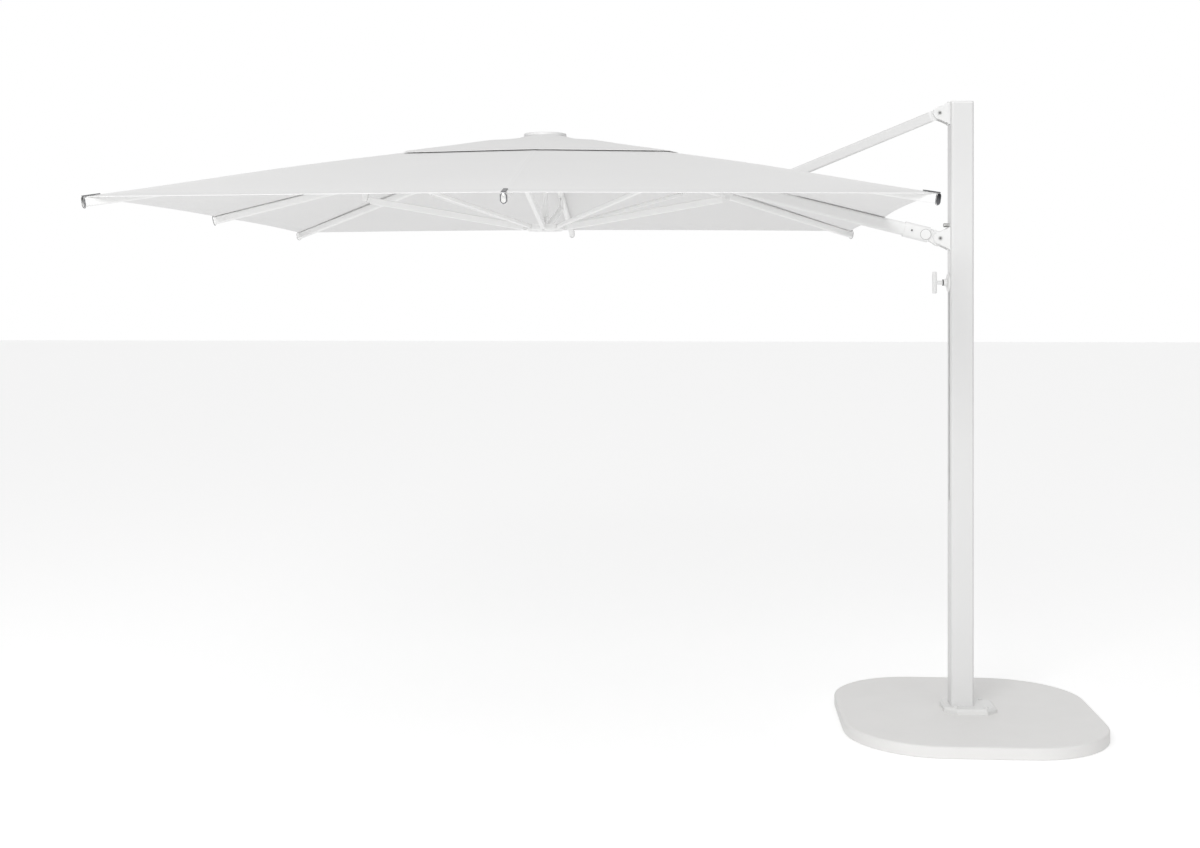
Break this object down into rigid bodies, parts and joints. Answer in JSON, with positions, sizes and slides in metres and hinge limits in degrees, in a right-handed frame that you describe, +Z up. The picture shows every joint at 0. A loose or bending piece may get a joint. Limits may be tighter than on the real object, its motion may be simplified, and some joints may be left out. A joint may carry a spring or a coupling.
{
  "type": "cantilever parasol",
  "caption": "Square cantilever parasol: side mast on a heavy slab, sloping boom and tie, vented cloth canopy that folds with the boom.",
  "frame": {"origin": "on the ground, on the mast's axis", "axes": "+Z up, the boom reaches from the mast towards -X, and Y runs across"},
  "size_m": [3.921, 3.0282, 2.71],
  "materials": {
    "base_concrete": "smooth cast concrete",
    "foot_steel": "white powder coat",
    "white_frame": "white powder-coated aluminium",
    "bare_steel": "brushed stainless steel",
    "clamp_parts": "white powder coat",
    "canopy_cloth": "plain woven acrylic awning cloth, off-white"
  },
  "bodies": {
    "root": {"base_slab": "base_concrete", "base_foot_plate": "foot_steel", "foot_bolts": "foot_steel", "mast_spigot": "foot_steel", "mast": "white_frame", "mast_cap": "white_frame", "top_bracket": "white_frame", "tie_pivot_bolt": "bare_steel", "carriage_stop": "bare_steel"},
    "tie": {"tie_tube": "white_frame", "tie_end_fittings": "white_frame"},
    "boom": {"boom_tube": "white_frame", "boom_sleeve": "white_frame", "boom_knuckle": "white_frame", "boom_sleeve_trim": "white_frame", "boom_tie_lug": "white_frame", "boom_fittings": "white_frame", "canopy_boom": "canopy_cloth"},
    "carriage": {"carriage_bracket": "white_frame", "carriage_pivot_bolt": "bare_steel", "carriage_slider": "clamp_parts", "clamp_washer": "clamp_parts"},
    "clamp": {"clamp_handle": "clamp_parts"},
    "hub": {"crown_hub": "white_frame", "crown_pins": "bare_steel", "canopy_pole": "white_frame", "top_cap": "white_frame"},
    "boom_strut": {"strut_boom": "white_frame"},
    "runner": {"runner_hub": "white_frame", "runner_pins": "bare_steel"},
    "rib_near": {"rib_near": "white_frame", "rib_fittings_near": "white_frame", "canopy_near": "canopy_cloth"},
    "strut_near": {"strut_near": "white_frame"},
    "rib_left": {"rib_left": "white_frame", "rib_fittings_left": "white_frame", "canopy_left": "canopy_cloth"},
    "strut_left": {"strut_left": "white_frame"},
    "rib_far": {"rib_far": "white_frame", "rib_fittings_far": "white_frame", "canopy_far": "canopy_cloth"},
    "strut_far": {"strut_far": "white_frame"},
    "rib_near_right": {"rib_near_right": "white_frame", "rib_fittings_near_right": "white_frame", "canopy_near_right": "canopy_cloth"},
    "strut_near_right": {"strut_near_right": "white_frame"},
    "rib_near_left": {"rib_near_left": "white_frame", "rib_fittings_near_left": "white_frame", "canopy_near_left": "canopy_cloth"},
    "strut_near_left": {"strut_near_left": "white_frame"},
    "rib_far_left": {"rib_far_left": "white_frame", "rib_fittings_far_left": "white_frame", "canopy_far_left": "canopy_cloth"},
    "strut_far_left": {"strut_far_left": "white_frame"},
    "rib_far_right": {"rib_far_right": "white_frame", "rib_fittings_far_right": "white_frame", "canopy_far_right": "canopy_cloth"},
    "strut_far_right": {"strut_far_right": "white_frame"}
  },
  "joints": [
    {"name": "fold", "type": "hinge", "parent": "root", "child": "tie", "pos_m": [-0.095, 0, 2.66], "axis": [0, -1, 0], "range_deg": [0, 66], "deforming": ["canopy_boom", "canopy_near", "canopy_left", "canopy_far", "canopy_near_right", "canopy_near_left", "canopy_far_left", "canopy_far_right"]},
    {"name": "boom_pivot", "type": "hinge", "parent": "tie", "child": "boom", "pos_m": [-0.7645, 0, 2.3855], "axis": [0, -1, 0], "range_deg": [-134, 0]},
    {"name": "carriage_pivot", "type": "hinge", "parent": "boom", "child": "carriage", "pos_m": [-0.095, 0, 2.111], "axis": [0, -1, 0], "range_deg": [0, 67]},
    {"name": "crown_pivot", "type": "hinge", "parent": "boom", "child": "hub", "pos_m": [-1.76, 0, 2.421], "axis": [0, -1, 0], "range_deg": [0, 67]},
    {"name": "rib_fold_near", "type": "hinge", "parent": "hub", "child": "rib_near", "pos_m": [-1.83, -0.07, 2.421], "axis": [1, 0, 0], "range_deg": [0, 67]},
    {"name": "strut_fold_near", "type": "hinge", "parent": "rib_near", "child": "strut_near", "pos_m": [-1.83, -0.812, 2.292], "axis": [1, 0, 0], "range_deg": [-134, 0]},
    {"name": "rib_fold_left", "type": "hinge", "parent": "hub", "child": "rib_left", "pos_m": [-1.9, 0, 2.421], "axis": [0, -1, 0], "range_deg": [0, 67]},
    {"name": "strut_fold_left", "type": "hinge", "parent": "rib_left", "child": "strut_left", "pos_m": [-2.642, 0, 2.292], "axis": [0, -1, 0], "range_deg": [-134, 0]},
    {"name": "rib_fold_far", "type": "hinge", "parent": "hub", "child": "rib_far", "pos_m": [-1.83, 0.07, 2.421], "axis": [-1, 0, 0], "range_deg": [0, 67]},
    {"name": "strut_fold_far", "type": "hinge", "parent": "rib_far", "child": "strut_far", "pos_m": [-1.83, 0.812, 2.292], "axis": [-1, 0, 0], "range_deg": [-134, 0]},
    {"name": "rib_fold_near_right", "type": "hinge", "parent": "hub", "child": "rib_near_right", "pos_m": [-1.7805, -0.0495, 2.546], "axis": [0.7071, 0.7071, 0], "range_deg": [0, 67]},
    {"name": "strut_fold_near_right", "type": "hinge", "parent": "rib_near_right", "child": "strut_near_right", "pos_m": [-1.21835, -0.61165, 2.3545], "axis": [0.7071, 0.7071, 0], "range_deg": [-134, 0]},
    {"name": "rib_fold_near_left", "type": "hinge", "parent": "hub", "child": "rib_near_left", "pos_m": [-1.8795, -0.0495, 2.546], "axis": [0.7071, -0.7071, 0], "range_deg": [0, 67]},
    {"name": "strut_fold_near_left", "type": "hinge", "parent": "rib_near_left", "child": "strut_near_left", "pos_m": [-2.44165, -0.61165, 2.3545], "axis": [0.7071, -0.7071, 0], "range_deg": [-134, 0]},
    {"name": "rib_fold_far_left", "type": "hinge", "parent": "hub", "child": "rib_far_left", "pos_m": [-1.8795, 0.0495, 2.546], "axis": [-0.7071, -0.7071, 0], "range_deg": [0, 67]},
    {"name": "strut_fold_far_left", "type": "hinge", "parent": "rib_far_left", "child": "strut_far_left", "pos_m": [-2.44165, 0.61165, 2.3545], "axis": [-0.7071, -0.7071, 0], "range_deg": [-134, 0]},
    {"name": "rib_fold_far_right", "type": "hinge", "parent": "hub", "child": "rib_far_right", "pos_m": [-1.7805, 0.0495, 2.546], "axis": [-0.7071, 0.7071, 0], "range_deg": [0, 67]},
    {"name": "strut_fold_far_right", "type": "hinge", "parent": "rib_far_right", "child": "strut_far_right", "pos_m": [-1.21835, 0.61165, 2.3545], "axis": [-0.7071, 0.7071, 0], "range_deg": [-134, 0]},
    {"name": "strut_fold_boom", "type": "hinge", "parent": "boom", "child": "boom_strut", "pos_m": [-1.018, 0, 2.292], "axis": [0, 1, 0], "range_deg": [-134, 0]},
    {"name": "runner_pivot", "type": "hinge", "parent": "boom_strut", "child": "runner", "pos_m": [-1.76, 0, 2.163], "axis": [0, 1, 0], "range_deg": [0, 67]},
    {"name": "clamp_turn", "type": "hinge", "parent": "carriage", "child": "clamp", "pos_m": [-0.109, 0, 1.918], "axis": [1, 0, 0], "range_deg": [0, 180]}
  ],
  "couplings": [
    {"joint": "boom_pivot", "follows": "fold", "ratio": -2},
    {"joint": "carriage_pivot", "follows": "fold", "ratio": 1},
    {"joint": "crown_pivot", "follows": "fold", "ratio": 1},
    {"joint": "rib_fold_near", "follows": "fold", "ratio": 1},
    {"joint": "strut_fold_near", "follows": "fold", "ratio": -2},
    {"joint": "rib_fold_left", "follows": "fold", "ratio": 1},
    {"joint": "strut_fold_left", "follows": "fold", "ratio": -2},
    {"joint": "rib_fold_far", "follows": "fold", "ratio": 1},
    {"joint": "strut_fold_far", "follows": "fold", "ratio": -2},
    {"joint": "rib_fold_near_right", "follows": "fold", "ratio": 0.945},
    {"joint": "strut_fold_near_right", "follows": "fold", "ratio": -1.89},
    {"joint": "rib_fold_near_left", "follows": "fold", "ratio": 0.945},
    {"joint": "strut_fold_near_left", "follows": "fold", "ratio": -1.89},
    {"joint": "rib_fold_far_left", "follows": "fold", "ratio": 0.945},
    {"joint": "strut_fold_far_left", "follows": "fold", "ratio": -1.89},
    {"joint": "rib_fold_far_right", "follows": "fold", "ratio": 0.945},
    {"joint": "strut_fold_far_right", "follows": "fold", "ratio": -1.89},
    {"joint": "strut_fold_boom", "follows": "fold", "ratio": -2},
    {"joint": "runner_pivot", "follows": "fold", "ratio": 1}
  ]
}
